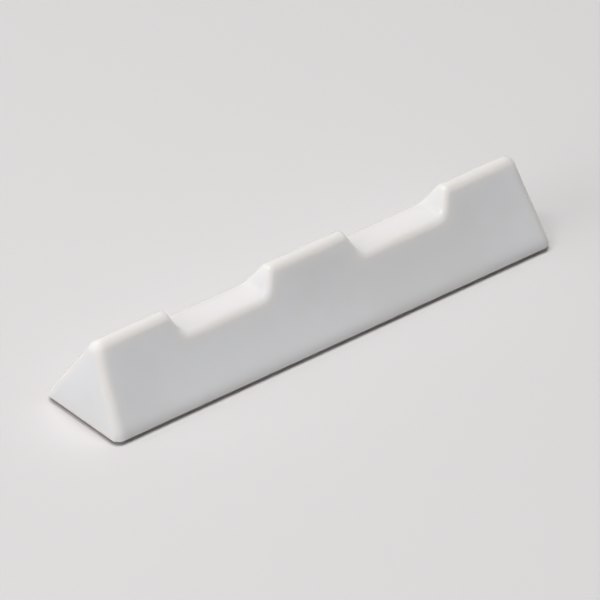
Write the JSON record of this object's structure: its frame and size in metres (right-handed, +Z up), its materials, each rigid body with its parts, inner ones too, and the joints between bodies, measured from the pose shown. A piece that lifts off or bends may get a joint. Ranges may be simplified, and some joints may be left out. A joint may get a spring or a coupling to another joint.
{
  "type": "chopstick rest",
  "caption": "Long triangular bar of white glazed porcelain whose notched ridge holds chopsticks or cutlery clear of the table.",
  "frame": {"origin": "middle of the footprint, on the table under the ridge", "axes": "+X along the ridge, +Y across the bar, +Z up from the table"},
  "size_m": [0.105, 0.0202, 0.0166],
  "materials": {
    "bare_porcelain": "matte, ground foot",
    "clear_glaze": "gloss"
  },
  "bodies": {
    "root": {"porcelain_body": "bare_porcelain", "glaze_coat": "clear_glaze"}
  },
  "joints": []
}
